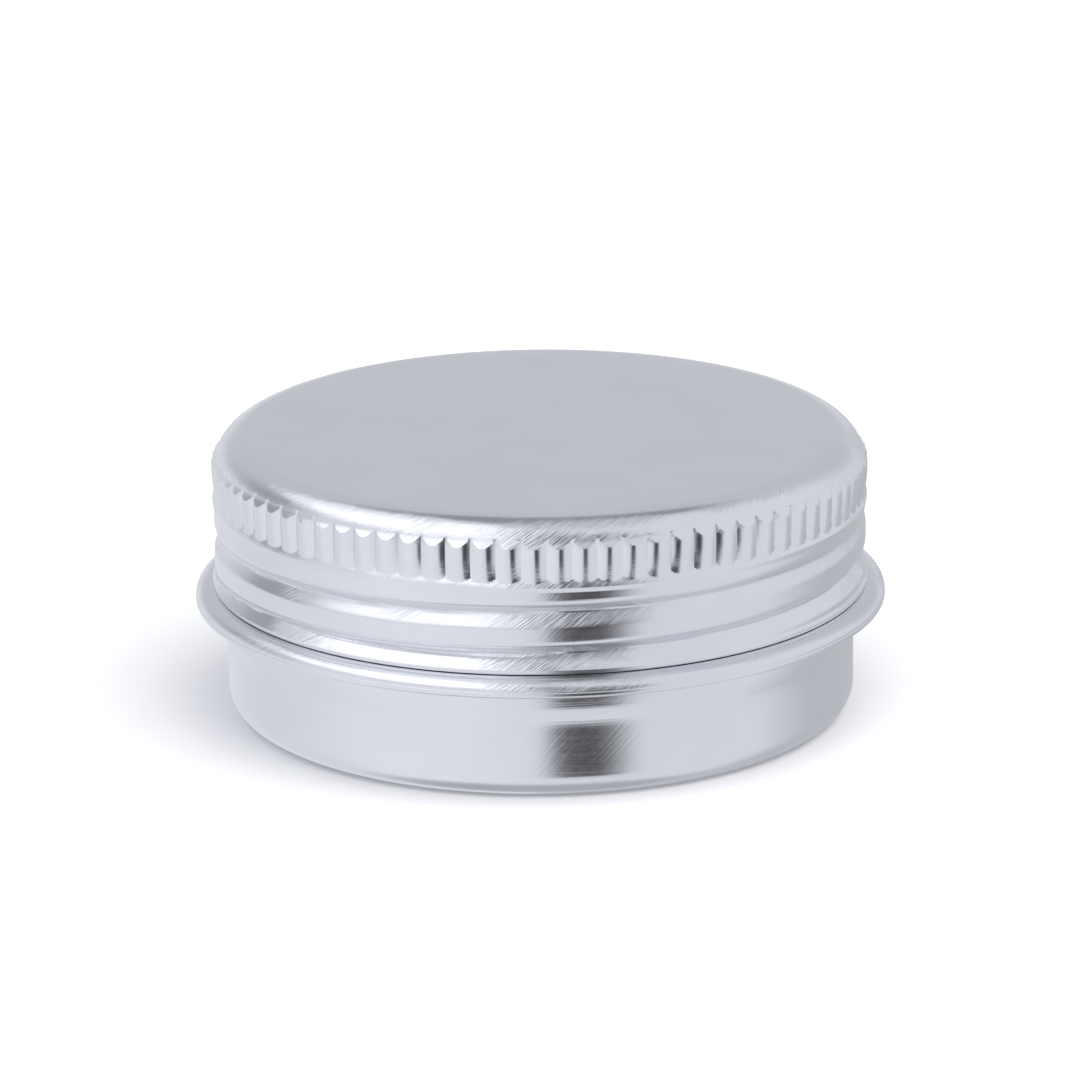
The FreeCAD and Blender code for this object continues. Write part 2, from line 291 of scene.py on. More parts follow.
# materials
metalSizes = {
    # spacing of each pattern in mm
    "drawLine": 0.12, "drawLineLength": 7.0, "scratch": 0.14, "scratchLength": 3.5, "patch": 7.0,
    "rollLine": 0.15, "rollLineLength": 9.0, "rollLineDepth": 50, "grain": 0.5, "bumpDepth": 0.03,
    # how much of each shows
    "lineWeight": 0.55, "scratchWeight": 5.0, "scratchWall": 0.1, "bumpStrength": 0.4,
    # what the grain and the scratches add to the roughness
    "roughness": 0.18, "grainHaze": 0.10, "scratchHaze": 0.25,
    # how far up a face looks where it counts as flat, and where it counts as a shoulder
    "flatFrom": 0.80, "flatTo": 0.97, "shoulderFrom": 0.05, "shoulderTo": 0.35,
    "wallRadius": 23.5,
}


def millimetreCoordinates(tree, wallRadius):
    # the place in mm, and a place laid out on the wall: X and Y go round it, wound back along helices that
    # rise at 45 degrees, and Z runs up the sheet, so whatever is long in Z slants, with no seam anywhere
    place = addNode(tree, "ShaderNodeTexCoord")
    inMillimetres = addNode(tree, "ShaderNodeVectorMath", {"operation": "SCALE"}, {
        0: place.outputs["Object"], "Scale": 1000.0}).outputs[0]
    flat = addNode(tree, "ShaderNodeVectorMath", {"operation": "MULTIPLY"}, {
        0: inMillimetres, 1: (1, 1, 0)}).outputs[0]
    radius = addNode(tree, "ShaderNodeVectorMath", {"operation": "LENGTH"}, {0: flat}).outputs["Value"]
    toAxis = addNode(tree, "ShaderNodeMath", {"operation": "SUBTRACT"}, {0: wallRadius, 1: radius}).outputs[0]
    height = addNode(tree, "ShaderNodeSeparateXYZ", inputs={0: inMillimetres}).outputs["Z"]
    upSheet = addNode(tree, "ShaderNodeMath", {"operation": "ADD"}, {0: height, 1: toAxis}).outputs[0]
    outward = addNode(tree, "ShaderNodeVectorMath", {"operation": "NORMALIZE"}, {0: flat}).outputs[0]
    onWall = addNode(tree, "ShaderNodeVectorMath", {"operation": "SCALE"}, {
        0: outward, "Scale": wallRadius}).outputs[0]
    turn = addNode(tree, "ShaderNodeMath", {"operation": "DIVIDE"}, {0: upSheet, 1: -wallRadius}).outputs[0]
    wound = addNode(tree, "ShaderNodeVectorRotate", {"rotation_type": "Z_AXIS"}, {
        "Vector": onWall, "Angle": turn}).outputs[0]
    lift = addNode(tree, "ShaderNodeCombineXYZ", inputs={2: upSheet}).outputs[0]
    laidOut = addNode(tree, "ShaderNodeVectorMath", {"operation": "ADD"}, {0: wound, 1: lift}).outputs[0]
    return inMillimetres, laidOut


def buildAluminium(name, hexColour, darkHex, s):
    # aluminium sheet, rolled bright, drawn and tumbled: a satin metal whose reflections are drawn out by fine
    # lines round the wall, with slanting handling scratches and a cool tint that wanders a little
    material = bpy.data.materials.new(name)
    material.use_nodes = True
    tree = material.node_tree
    shader = tree.nodes["Principled BSDF"]
    shader.inputs["Metallic"].default_value = 1.0
    position, wound = millimetreCoordinates(tree, s["wallRadius"])

    # one wave of each noise is as long as the spacing on each axis, in mm
    patterns = {}
    for label, vector, spacing, detail, coarseness in (
            ("wallLines", position, (s["drawLineLength"], s["drawLineLength"], s["drawLine"]), 3, 0.6),
            ("flatLines", position, (s["rollLineLength"], s["rollLine"], s["rollLineDepth"]), 3, 0.6),
            ("hatch", wound, (s["scratch"], s["scratch"], s["scratchLength"]), 2, 0.6),
            ("patches", position, (s["patch"], s["patch"], s["patch"]), 2, 0.5),
            ("grain", position, (s["grain"], s["grain"], s["grain"]), 4, 0.65)):
        scaled = addNode(tree, "ShaderNodeVectorMath", {"operation": "MULTIPLY"}, {
            0: vector, 1: [1 / length for length in spacing]})
        patterns[label] = addNode(tree, "ShaderNodeTexNoise", inputs={
            "Vector": scaled.outputs[0], "Scale": 1.0, "Detail": detail, "Roughness": coarseness}).outputs[0]

    # lines round the wall, and straight rolling lines on the flat top and bottom
    normal = addNode(tree, "ShaderNodeNewGeometry").outputs["True Normal"]
    upward = addNode(tree, "ShaderNodeSeparateXYZ", inputs={0: normal}).outputs["Z"]
    level = addNode(tree, "ShaderNodeMath", {"operation": "ABSOLUTE"}, {0: upward}).outputs[0]
    onFlat = addNode(tree, "ShaderNodeMapRange", inputs={
        "Value": level, "From Min": s["flatFrom"], "From Max": s["flatTo"]}).outputs[0]
    offFlat = addNode(tree, "ShaderNodeMath", {"operation": "SUBTRACT"}, {0: 1.0, 1: onFlat}).outputs[0]
    lines = addNode(tree, "ShaderNodeMix", {"data_type": "FLOAT"}, {
        0: onFlat, 2: patterns["wallLines"], 3: patterns["flatLines"]}).outputs[0]

    # slanting scratches: many on the rounded shoulders, which rub first, and a few in patches elsewhere
    shoulder = addNode(tree, "ShaderNodeMapRange", inputs={
        "Value": upward, "From Min": s["shoulderFrom"], "From Max": s["shoulderTo"],
        "To Min": s["scratchWall"], "To Max": 1.0}).outputs[0]
    worn = addNode(tree, "ShaderNodeMapRange", inputs={
        "Value": patterns["patches"], "From Min": 0.42, "From Max": 0.60,
        "To Min": 0.25, "To Max": 1.0}).outputs[0]
    scratches = addNode(tree, "ShaderNodeMath", {"operation": "SUBTRACT"}, {
        0: patterns["hatch"], 1: 0.5}).outputs[0]
    for share in (worn, shoulder, offFlat):
        scratches = addNode(tree, "ShaderNodeMath", {"operation": "MULTIPLY"}, {
            0: scratches, 1: share}).outputs[0]

    linesHigh = addNode(tree, "ShaderNodeMath", {"operation": "MULTIPLY"}, {0: lines, 1: s["lineWeight"]})
    height = addNode(tree, "ShaderNodeMath", {"operation": "MULTIPLY_ADD"}, {
        0: scratches, 1: s["scratchWeight"], 2: linesHigh.outputs[0]})
    bump = addNode(tree, "ShaderNodeBump", inputs={
        "Height": height.outputs[0], "Strength": s["bumpStrength"], "Distance": s["bumpDepth"] * millimetre})
    tree.links.new(bump.outputs[0], shader.inputs["Normal"])

    tint = addNode(tree, "ShaderNodeMix", {"data_type": "RGBA"}, {
        0: patterns["patches"], 6: hexToLinear(darkHex), 7: hexToLinear(hexColour)})
    tree.links.new(tint.outputs[2], shader.inputs["Base Color"])
    haze = addNode(tree, "ShaderNodeMath", {"operation": "MULTIPLY_ADD"}, {
        0: patterns["grain"], 1: s["grainHaze"], 2: s["roughness"] - s["grainHaze"] / 2})
    rubbed = addNode(tree, "ShaderNodeMath", {"operation": "ABSOLUTE"}, {0: scratches})
    haze = addNode(tree, "ShaderNodeMath", {"operation": "MULTIPLY_ADD"}, {
        0: rubbed.outputs[0], 1: s["scratchHaze"], 2: haze.outputs[0]})
    tree.links.new(haze.outputs[0], shader.inputs["Roughness"])
    return material


# spacing and depth of each pattern, and how far light bleeds, in mm
tinplateSizes = {"spangle": 1.1111}
waxLook = {"frost": 3.84615, "grain": 0.714286, "pit": 2.38095, "bumpDepth": 0.06, "bleed": 1.6}
cottonLook = {"fibre": 0.111111, "tone": 1.1111, "bumpDepth": 0.05}
foamLook = {"bleed": 0.8, "bumpDepth": 0.1}


def buildTinplate(s):
    # tinned steel strip, stamped: brighter and smoother than the aluminium, with a faint mottled tin grain
    material = bpy.data.materials.new("brightTinplate")
    material.use_nodes = True
    tree = material.node_tree
    shader = tree.nodes["Principled BSDF"]
    shader.inputs["Metallic"].default_value = 1.0
    place = addNode(tree, "ShaderNodeTexCoord")
    spangle = addNode(tree, "ShaderNodeTexVoronoi", inputs={
        "Vector": place.outputs["Object"], "Scale": 1 / (s["spangle"] * millimetre)})
    tint = addNode(tree, "ShaderNodeMix", {"data_type": "RGBA"}, {
        0: spangle.outputs["Distance"], 6: hexToLinear("#C9CBCC"), 7: hexToLinear("#DDDEDC")})
    tree.links.new(tint.outputs[2], shader.inputs["Base Color"])
    haze = addNode(tree, "ShaderNodeMapRange", inputs={
        "Value": spangle.outputs["Distance"], "To Min": 0.22, "To Max": 0.34})
    tree.links.new(haze.outputs[0], shader.inputs["Roughness"])
    return material


def buildWax(s):
    # poured soy wax: cream, softly translucent, satin on top, with frosting and small pits from cooling
    material = bpy.data.materials.new("pouredSoyWax")
    material.use_nodes = True
    tree = material.node_tree
    shader = tree.nodes["Principled BSDF"]
    shader.inputs["Roughness"].default_value = 0.42
    shader.inputs["IOR"].default_value = 1.44
    shader.inputs["Subsurface Weight"].default_value = 0.35
    shader.inputs["Subsurface Radius"].default_value = (1.0, 0.8, 0.5)
    shader.inputs["Subsurface Scale"].default_value = s["bleed"] * millimetre
    place = addNode(tree, "ShaderNodeTexCoord")
    frost = addNode(tree, "ShaderNodeTexNoise", inputs={
        "Vector": place.outputs["Object"], "Scale": 1 / (s["frost"] * millimetre), "Detail": 5.0,
        "Roughness": 0.6, "Distortion": 0.6})
    cloud = addNode(tree, "ShaderNodeMapRange", inputs={
        "Value": frost.outputs[0], "From Min": 0.35, "From Max": 0.68})
    colour = addNode(tree, "ShaderNodeMix", {"data_type": "RGBA"}, {
        0: cloud.outputs[0], 6: hexToLinear("#F6EEDB"), 7: hexToLinear("#FCF8EE")})
    tree.links.new(colour.outputs[2], shader.inputs["Base Color"])
    grain = addNode(tree, "ShaderNodeTexNoise", inputs={
        "Vector": place.outputs["Object"], "Scale": 1 / (s["grain"] * millimetre), "Detail": 3.0,
        "Roughness": 0.55})
    pits = addNode(tree, "ShaderNodeTexVoronoi", inputs={
        "Vector": place.outputs["Object"], "Scale": 1 / (s["pit"] * millimetre)})
    hollow = addNode(tree, "ShaderNodeMapRange", inputs={
        "Value": pits.outputs["Distance"], "From Min": 0.06, "From Max": 0.16})
    height = addNode(tree, "ShaderNodeMath", {"operation": "MULTIPLY_ADD"}, {
        0: grain.outputs[0], 1: 0.5, 2: hollow.outputs[0]})
    bump = addNode(tree, "ShaderNodeBump", inputs={
        "Height": height.outputs[0], "Strength": 0.35, "Distance": s["bumpDepth"] * millimetre})
    tree.links.new(bump.outputs[0], shader.inputs["Normal"])
    return material


def buildCotton(s):
    # braided cotton, primed with wax: off-white yarn with fine fibres along each strand; the colour is darker
    # where the fibre bump sinks, which is painted shade in the gaps between fibres, and it also varies in
    # tone at random
    material = bpy.data.materials.new("waxedBraidedCotton")
    material.use_nodes = True
    tree = material.node_tree
    shader = tree.nodes["Principled BSDF"]
    shader.inputs["Roughness"].default_value = 0.75
    shader.inputs["Sheen Weight"].default_value = 0.25
    place = addNode(tree, "ShaderNodeTexCoord")
    fibre = addNode(tree, "ShaderNodeTexNoise", inputs={
        "Vector": place.outputs["Object"], "Scale": 1 / (s["fibre"] * millimetre), "Detail": 3.0,
        "Roughness": 0.7})
    tone = addNode(tree, "ShaderNodeTexNoise", inputs={
        "Vector": place.outputs["Object"], "Scale": 1 / (s["tone"] * millimetre)})
    blend = addNode(tree, "ShaderNodeMath", {"operation": "MULTIPLY"}, {
        0: fibre.outputs[0], 1: tone.outputs[0]})
    # painted shade and random tone: darker where the fibre noise is low, the same noise that sinks the bump,
    # and where the tone noise is low
    gapShadeAndTone = addNode(tree, "ShaderNodeMapRange", inputs={
        "Value": blend.outputs[0], "From Min": 0.12, "From Max": 0.38})
    colour = addNode(tree, "ShaderNodeMix", {"data_type": "RGBA"}, {
        0: gapShadeAndTone.outputs[0], 6: hexToLinear("#E6DECB"), 7: hexToLinear("#FBF7EC")})
    tree.links.new(colour.outputs[2], shader.inputs["Base Color"])
    bump = addNode(tree, "ShaderNodeBump", inputs={
        "Height": fibre.outputs[0], "Strength": 0.6, "Distance": s["bumpDepth"] * millimetre})
    tree.links.new(bump.outputs[0], shader.inputs["Normal"])
    return material


def buildFoam(name, lightHex, darkHex, cellMillimetres, roughness, s):
    # expanded polyethylene foam: matt, faintly sparkling skin over closed cells that show as dimples; each
    # cell's colour darkens towards its sunken border, which is painted shade in the creases between cells
    material = bpy.data.materials.new(name)
    material.use_nodes = True
    tree = material.node_tree
    shader = tree.nodes["Principled BSDF"]
    shader.inputs["Roughness"].default_value = roughness
    shader.inputs["Subsurface Weight"].default_value = 0.15
    shader.inputs["Subsurface Radius"].default_value = (0.9, 0.9, 0.9)
    shader.inputs["Subsurface Scale"].default_value = s["bleed"] * millimetre
    place = addNode(tree, "ShaderNodeTexCoord")
    scale = 1 / (cellMillimetres * millimetre)
    cells = addNode(tree, "ShaderNodeTexVoronoi", inputs={"Vector": place.outputs["Object"], "Scale": scale})
    # painted shade: the colour runs darker towards each cell's border, where the bump sinks the surface
    creaseShadedColour = addNode(tree, "ShaderNodeMix", {"data_type": "RGBA"}, {
        0: cells.outputs["Distance"], 6: hexToLinear(lightHex), 7: hexToLinear(darkHex)})
    tree.links.new(creaseShadedColour.outputs[2], shader.inputs["Base Color"])
    bump = addNode(tree, "ShaderNodeBump", {"invert": True}, {
        "Height": cells.outputs["Distance"], "Strength": 0.5, "Distance": s["bumpDepth"] * millimetre})
    tree.links.new(bump.outputs[0], shader.inputs["Normal"])
    return material


lidAluminium = buildAluminium("satinAluminiumLid", "#EDEEF1", "#E3E4E8", metalSizes)
canAluminium = buildAluminium("satinAluminiumCan", "#EDEEF1", "#E3E4E8", metalSizes)
tinplate = buildTinplate(tinplateSizes)
soyWax = buildWax(waxLook)
wickCotton = buildCotton(cottonLook)
linerFoam = buildFoam("whiteLinerFoam", "#F1F1EE", "#DCDDDA", 0.55, 0.6, foamLook)
stickerFoam = buildFoam("stickerFoamTape", "#ECEBE4", "#CFCEC6", 0.35, 0.7, foamLook)
print("materials built")


# can: one drawn sheet with a folded bead, a rolled thread on the neck and a curled rim (mm)
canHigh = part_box("base_can")[1] / millimetre
canSizes = {
    "columns": 360,
    "wallRadius": 22.73, "gauge": 0.35, "footRadius": 1.8, "panelRadius": 18.5, "panelLift": 0.4,
    "kinkHeight": 5.8, "flareRadius": 22.95, "flareTop": 6.75, "flareEase": 0.15,
    "beadRadius": canHigh.x, "beadLow": 8.2, "beadTop": 9.5, "beadShoulder": (1.35, 0.95), "beadNose": 0.16,
    "foldLine": 0.03, "neckRadius": 22.45, "neckFillet": 0.25, "rimTop": canHigh.z, "curlWidth": 1.0,
    "threadHeight": 0.45, "threadHalf": 0.8, "threadLead": 3.0, "threadTurns": 1.1, "threadStart": 12.82,
    "threadRunOut": 0.35,
}


def beadProfile(s):
    # from the wall's top round the bead to the neck
    across, up = s["beadShoulder"]
    nose = s["beadNose"]
    faceTop = s["beadTop"] - up
    points = arcPoints((s["flareRadius"] + 0.2, s["beadLow"] - 0.2), 0.2, 180, 90, 3)
    points += arcPoints((s["beadRadius"] - nose, s["beadLow"] + nose), nose, -90, 0, 5)
    points += straight(points[-1], (s["beadRadius"], faceTop), 2)
    shoulder = arcPoints((s["beadRadius"] - across, faceTop), (across, up), 8, 90, 20)
    # the edge of the folded sheet leaves a hairline under the shoulder
    points += [(s["beadRadius"] - s["foldLine"], faceTop + 0.04)] + shoulder
    points += [(s["neckRadius"] + s["neckFillet"] + 0.3, s["beadTop"])]
    fillet = s["neckFillet"]
    points += arcPoints((s["neckRadius"] + fillet, s["beadTop"] + fillet), fillet, 270, 180, 4)
    return points


def threadPush(s, height, angle):
    push = 0.0
    toEnd = s["threadTurns"] * fullTurn
    for turn in range(2):
        along = angle + turn * fullTurn
        if along > toEnd:
            continue
        away = abs(height - s["threadStart"] - s["threadLead"] * along / fullTurn) / s["threadHalf"]
        ends = smooth(along / s["threadRunOut"]) * smooth((toEnd - along) / s["threadRunOut"])
        if away < 1:
            push = max(push, (0.5 + 0.5 * math.cos(math.pi * away)) * ends)
    return push * s["threadHeight"]


def buildCan(s):
    wall, gauge, foot = s["wallRadius"], s["gauge"], s["footRadius"]
    edge = s["panelRadius"] + s["panelLift"]
    curl = s["curlWidth"] / 2
    ease = s["flareEase"]
    neckEnd = s["rimTop"] - curl
    inner = s["neckRadius"] - gauge
    profile = [(0, s["panelLift"]), (s["panelRadius"] * 0.5, s["panelLift"])]
    profile += [(s["panelRadius"] - 0.2, s["panelLift"])]
    profile += straight((s["panelRadius"], s["panelLift"] - 0.04), (edge, 0.03), 3) + [(edge + 0.2, 0.0)]
    profile += arcPoints((wall - foot, foot), foot, -90, 0, 16)
    profile += straight((wall, foot), (wall, s["kinkHeight"]), 6)
    profile += [(wall + 0.012, s["kinkHeight"] + 0.05), (s["flareRadius"] - 0.03, s["flareTop"] - ease),
                (s["flareRadius"], s["flareTop"] + ease), (s["flareRadius"], s["beadLow"] - 0.3)]
    profile += beadProfile(s)
    neck = straight(profile[-1], (s["neckRadius"], neckEnd), 58)
    profile += neck
    profile += arcPoints((s["neckRadius"] - curl, neckEnd), curl, 0, 270, 22)[1:]
    profile += straight((inner, neckEnd - curl - 0.02), (inner, s["beadTop"]), 30)
    profile += [(wall - gauge, s["beadLow"])] + arcPoints((wall - foot, foot), foot - gauge, 0, -90, 8)
    profile += [(edge, gauge), (s["panelRadius"], s["panelLift"] + gauge), (0, s["panelLift"] + gauge)]
    threaded = set(neck) | set(p for p in profile if p[0] == inner)

    def place(radius, height, angle):
        if (radius, height) in threaded:
            radius += threadPush(s, height, angle)
        return radius, height

    mesh = bmesh.new()
    addRings(mesh, profile, evenAngles(s["columns"]), place)
    return pieceFrom(mesh, "canAluminiumShell")


can = buildCan(canSizes)
finishPiece(can, canAluminium, "base", "can_aluminium", "base_can")


# lid: one drawn sheet with a knurled grip band, a rolled thread and a rolled hem (mm)
lidLow, lidHigh = [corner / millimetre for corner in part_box("lid_shell")]
lidSizes = {
    "ridges": 83,
    # places across one ridge, as shares of the pitch: the crest is at 0 and the groove line at both ends
    "columns": (-0.5, -0.42, -0.28, -0.14, 0.0, 0.14, 0.28, 0.42),
    "top": lidHigh.z, "hemLow": 9.53, "hemRadius": lidHigh.x, "gauge": 0.35,
    "gripRoot": 23.53, "gripTaper": 0.07, "skirtRadius": 23.58, "corner": 2.4, "innerCorner": 1.5,
    "ridgeRise": 0.2, "ridgeFade": 0.2, "ridgeShare": 0.84, "ridgeTop": 18.98, "ridgeTopSlope": 0.5,
    "ridgeFadeHeight": 2.2, "lineDepth": 0.07, "lineTop": 19.25, "lineRunOut": 0.15, "lineShare": 0.95,
    "bandTop": 19.4, "bandLow": 15.45, "topRings": (8, 15, 19.5),
    "footLow": 15.95, "footRadius": 23.6, "footSlope": 0.6, "footRows": (0.9, 1.7),
    "threadLead": 3.0, "grooveFront": 10.87, "grooveDepth": 0.62, "grooveUpper": 0.9, "grooveLower": 0.98,
    "grooveEase": 0.1,
    # shares of the groove's flanks that ease out into the skirt, and where it starts and ends, in radians
    "upperFlankEase": 0.8, "lowerFlankEase": 0.25, "grooveRunIn": 0.6, "grooveEnd": 3.4 * math.pi,
    "grooveRunOut": 1.2 * math.pi,
    "hemTop": 10.6, "hemTopRadius": 23.12, "hemFace": 9.85, "hemNose": 0.12, "insideRadius": 23.12,
}


def lidOutsideRadius(s, height):
    # the drawn cup before the ridges are rolled in, a little narrower towards its foot
    above = height - (s["top"] - s["corner"])
    if above <= 0:
        return s["gripRoot"] + above * s["gripTaper"]
    return s["gripRoot"] - s["corner"] + math.sqrt(max(0.0, s["corner"] ** 2 - above ** 2))


def gripRadius(s, height, across):
    away = abs(across) * 2
    fade = s["ridgeFade"] * min(1.0, max(0.0, (s["top"] - s["corner"] - height) / s["ridgeFadeHeight"]))
    ridge = s["ridgeRise"] * (1 - fade) * max(0.0, 1 - (away / s["ridgeShare"]) ** 2)
    ridge = min(ridge, max(0.0, (s["ridgeTop"] - height) * s["ridgeTopSlope"]))
    line = 0.0
    if away > s["lineShare"]:
        line = s["lineDepth"] * min(1.0, max(0.0, (s["lineTop"] - height) / s["lineRunOut"]))
    radius = lidOutsideRadius(s, height) + ridge - line
    if height < s["ridgeTop"] - 1:
        radius = max(radius, s["footRadius"] - (height - s["footLow"]) * s["footSlope"])
    share = smooth((height - s["bandLow"]) / (s["footLow"] - s["bandLow"]))
    return s["skirtRadius"] * (1 - share) + radius * share


def buildRidge(s):
    # one rounded ridge of the grip band, from groove line to groove line; a facet cuts its top to a point
    facet = s["ridgeRise"] / s["ridgeTopSlope"]
    tip = s["ridgeTop"] - facet
    foot = s["footLow"]
    heights = straight((0, s["bandLow"] - 0.17), (0, foot), 4) + straight((0, foot), (0, foot + 0.36), 3)
    heights = [z for _, z in heights] + [foot + rise for rise in s["footRows"]]
    heights += [tip, tip + facet / 2, s["ridgeTop"]]
    heights += [s["lineTop"] - s["lineRunOut"], s["lineTop"] - 0.07, s["lineTop"], s["bandTop"]]
    heights[0] = s["bandLow"]
    places = list(s["columns"]) + [0.5]
    step = fullTurn / s["ridges"]
    mesh = bmesh.new()
    grid = []
    for height in heights:
        row = []
        for across in places:
            r = gripRadius(s, height, across) * millimetre
            angle = step * across
            row.append(mesh.verts.new((r * math.cos(angle), r * math.sin(angle), height * millimetre)))
        grid.append(row)
    for k, (low, high) in enumerate(zip(grid, grid[1:])):
        onFacet = heights[k] >= tip - 1e-6 and heights[k] < s["ridgeTop"] - 1e-6
        for i in range(len(places) - 1):
            corners = (low[i], low[i + 1], high[i + 1], high[i])
            if not onFacet:
                mesh.faces.new(corners)
            elif places[i] < 0:
                # the split runs along the facet's slanting edge
                mesh.faces.new((corners[0], corners[1], corners[3]))
                mesh.faces.new((corners[1], corners[2], corners[3]))
            else:
                mesh.faces.new((corners[0], corners[1], corners[2]))
                mesh.faces.new((corners[0], corners[2], corners[3]))
    data = bpy.data.meshes.new("gripRidge")
    mesh.to_mesh(data)
    mesh.free()
    return linkObject("gripRidge", data)


def buildRingTree():
    # copies one piece round the Z axis and joins the copies into one skin
    tree, given = newTree("gripRidgeRing", [
        ("Ridge", "Object"), ("Count", "Int"), ("Merge Distance", "Float"), ("Material", "Material")])
    points = addNode(tree, "GeometryNodeMeshLine", inputs={
        "Count": given.outputs["Count"], "Offset": (0, 0, 0)})
    index = addNode(tree, "GeometryNodeInputIndex")
    turn = addNode(tree, "ShaderNodeMath", {"operation": "DIVIDE"}, {
        0: index.outputs[0], 1: given.outputs["Count"]})
    angle = addNode(tree, "ShaderNodeMath", {"operation": "MULTIPLY"}, {0: turn.outputs[0], 1: fullTurn})
    rotation = addNode(tree, "ShaderNodeCombineXYZ", inputs={2: angle.outputs[0]})
    ridge = addNode(tree, "GeometryNodeObjectInfo", inputs={"Object": given.outputs["Ridge"]})
    copies = addNode(tree, "GeometryNodeInstanceOnPoints", inputs={
        "Points": points.outputs[0], "Instance": ridge.outputs["Geometry"], "Rotation": rotation.outputs[0]})
    solid = addNode(tree, "GeometryNodeRealizeInstances", inputs={0: copies.outputs[0]})
    merged = addNode(tree, "GeometryNodeMergeByDistance", inputs={
        "Geometry": solid.outputs[0], "Distance": given.outputs["Merge Distance"]})
    painted = addNode(tree, "GeometryNodeSetMaterial", inputs={
        "Geometry": merged.outputs[0], "Material": given.outputs["Material"]})
    addNode(tree, "NodeGroupOutput", inputs={0: painted.outputs[0]})
    return tree


def grooveDepth(s, height, angle):
    # the rolled thread seen from outside: angle runs anticlockwise from +X, and the groove starts
    # on the left, rises one lead per turn and fades out on the right after a turn and a half
    deepest = 0.0
    for turn in range(2):
        along = (angle - math.pi) % fullTurn + turn * fullTurn
        away = height - s["grooveFront"] - s["threadLead"] * (along - math.pi / 2) / fullTurn
        width = s["grooveUpper"] if away > 0 else s["grooveLower"]
        rounded = math.sqrt(away ** 2 + s["grooveEase"] ** 2) - s["grooveEase"]
        share = max(0.0, 1 - rounded / width)
        foot = s["upperFlankEase"] if away > 0 else s["lowerFlankEase"]
        shape = share ** 2 / (2 * foot) if share < foot else share - foot / 2
        shape /= 1 - foot / 2
        fade = smooth((s["grooveEnd"] - along) / s["grooveRunOut"]) * smooth(along / s["grooveRunIn"])
        deepest = max(deepest, shape * fade)
    return deepest * s["grooveDepth"] * smooth((s["bandLow"] - height) / 0.7)


def skirtOutside(s, height, angle):
    radius = s["skirtRadius"] - grooveDepth(s, height, angle)
    if height < s["hemTop"]:
        share = min(1.0, (s["hemTop"] - height) / (s["hemTop"] - s["hemFace"]))
        radius = max(radius, s["hemTopRadius"] + (s["hemRadius"] - s["hemTopRadius"]) * share)
    return radius


def buildLid(s, material):
    step = fullTurn / s["ridges"]
    angles = [step * (k + across) for k in range(s["ridges"]) for across in s["columns"]]
    centre = (s["gripRoot"] - s["corner"], s["top"] - s["corner"])
    bandDegrees = math.degrees(math.asin((s["bandTop"] - centre[1]) / s["corner"]))
    crown = [(0, s["top"])] + [(radius, s["top"]) for radius in s["topRings"]]
    crown += arcPoints(centre, s["corner"], 90, bandDegrees, 14)
    nose = s["hemNose"]
    hemEdge = s["hemLow"] + nose
    skirt = [(s["skirtRadius"], s["bandLow"])]
    skirt += straight(skirt[0], (s["skirtRadius"], s["hemTop"] + 0.02), 42)
    skirt += straight((s["skirtRadius"], s["hemTop"]), (s["skirtRadius"], s["hemFace"]), 8)
    skirt += [(s["skirtRadius"], hemEdge)]
    inner = s["skirtRadius"] - s["gauge"]
    rise = s["hemTop"] + 0.1
    roof = s["top"] - s["gauge"]
    hem = arcPoints((s["hemRadius"] - nose, hemEdge), nose, -10, -90, 4)
    hem += [(s["insideRadius"], s["hemLow"]), (s["insideRadius"], rise - 0.15)]
    inside = straight((inner, rise), (inner, s["bandLow"]), 28)
    bell = arcPoints((inner - 0.1 - s["innerCorner"], roof - s["innerCorner"]), s["innerCorner"], 0, 90, 8)
    bell += [(12, roof), (0, roof)]
    onSkirt, onInside = set(skirt), set(inside)

    def place(radius, height, angle):
        if (radius, height) in onSkirt:
            radius = skirtOutside(s, height, angle)
        elif (radius, height) in onInside:
            radius -= grooveDepth(s, height, angle)
        return radius, height

    ridge = buildRidge(s)
    band = meshFromTree(buildRingTree(), {"Ridge": ridge, "Count": s["ridges"], "Merge Distance": 2e-6,
                                          "Material": material})
    bpy.data.objects.remove(ridge)
    mesh = bmesh.new()
    mesh.from_mesh(band)
    addRings(mesh, crown, angles)
    addRings(mesh, skirt + hem + inside + bell, angles, place)
    return pieceFrom(mesh, "lidAluminiumShell", 18)


lid = buildLid(lidSizes, lidAluminium)
finishPiece(lid, lidAluminium, "lid", "lid_aluminium", "lid_shell")


# liner: a soft foam disc, pressed by the rim it seals on (mm)
linerLow, linerHigh = [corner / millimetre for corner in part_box("lid_liner")]
linerSizes = {"columns": 180, "radius": linerHigh.x, "low": linerLow.z, "top": linerHigh.z,
              "lowEdge": 0.12, "topEdge": 0.86, "rings": (6, 12, 18),
              "rimRadius": 21.95, "rimHalf": 0.5, "rimPress": 0.16, "waviness": 0.05}


def buildLiner(s):
    lowEdge, topEdge = s["lowEdge"], s["topEdge"]
    profile = [(0, s["low"])] + [(radius, s["low"]) for radius in s["rings"]]
    for i in range(13):
        radius = s["rimRadius"] + s["rimHalf"] * (i / 6 - 1)
        profile.append((radius, s["low"] + s["rimPress"] * (0.5 + 0.5 * math.cos(math.pi * (i / 6 - 1)))))
    profile += arcPoints((s["radius"] - lowEdge, s["low"] + lowEdge), lowEdge, -60, 0, 5)
    profile += arcPoints((s["radius"] - topEdge, s["top"] - topEdge), topEdge, 0, 90, 8)
    profile += [(12, s["top"]), (0, s["top"])]

    def place(radius, height, angle):
        # a cut foam edge is never quite round
        drop = s["waviness"] * (0.5 + 0.5 * math.sin(7 * angle) * math.sin(3 * angle + 1))
        return (radius - drop if radius > s["radius"] - topEdge * 0.3 else radius), height

    mesh = bmesh.new()
    addRings(mesh, profile, evenAngles(s["columns"]), place)
    return pieceFrom(mesh, "foamLiner")


liner = buildLiner(linerSizes)
finishPiece(liner, linerFoam, "liner", "foam", "lid_liner")


